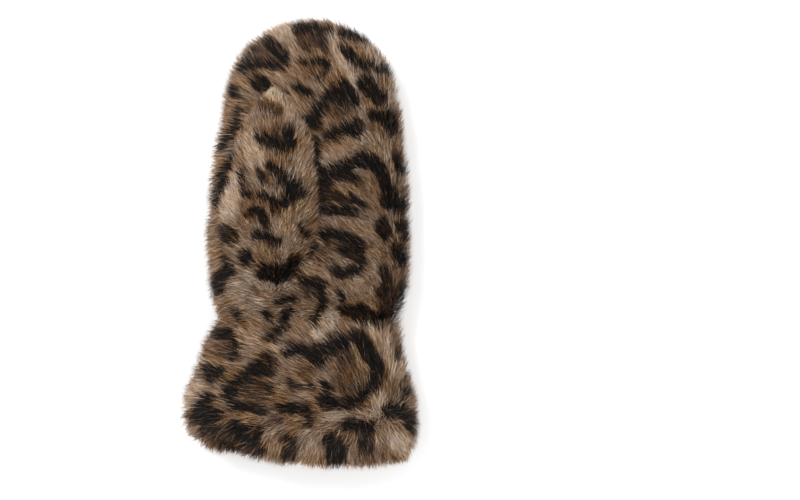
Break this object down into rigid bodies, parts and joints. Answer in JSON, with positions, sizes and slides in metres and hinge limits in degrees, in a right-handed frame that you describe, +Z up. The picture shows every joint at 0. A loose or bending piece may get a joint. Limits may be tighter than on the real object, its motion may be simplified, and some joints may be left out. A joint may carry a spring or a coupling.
{
  "type": "mitten",
  "caption": "Deep faux-fur mitten in a leopard pattern, palm up, with a gusseted thumb folded over the palm, a gathered wrist, a flared cuff and a bare leather patch.",
  "frame": {"origin": "bottom middle of the mitten's outline, on the surface that it lies on", "axes": "+Y from the cuff to the fingertips, +X towards the little-finger side, +Z up out of the palm"},
  "size_m": [0.156, 0.2822, 0.0676],
  "materials": {
    "fur": "deep soft faux fur with dark leopard rosettes on tan",
    "leather": "matte brown grained leather"
  },
  "bodies": {
    "root": {"back_panel": "fur", "palm_panel": "fur", "thumb_gusset": "fur", "thumb": "fur", "cuff": "fur", "leather_patch": "leather"}
  },
  "joints": []
}
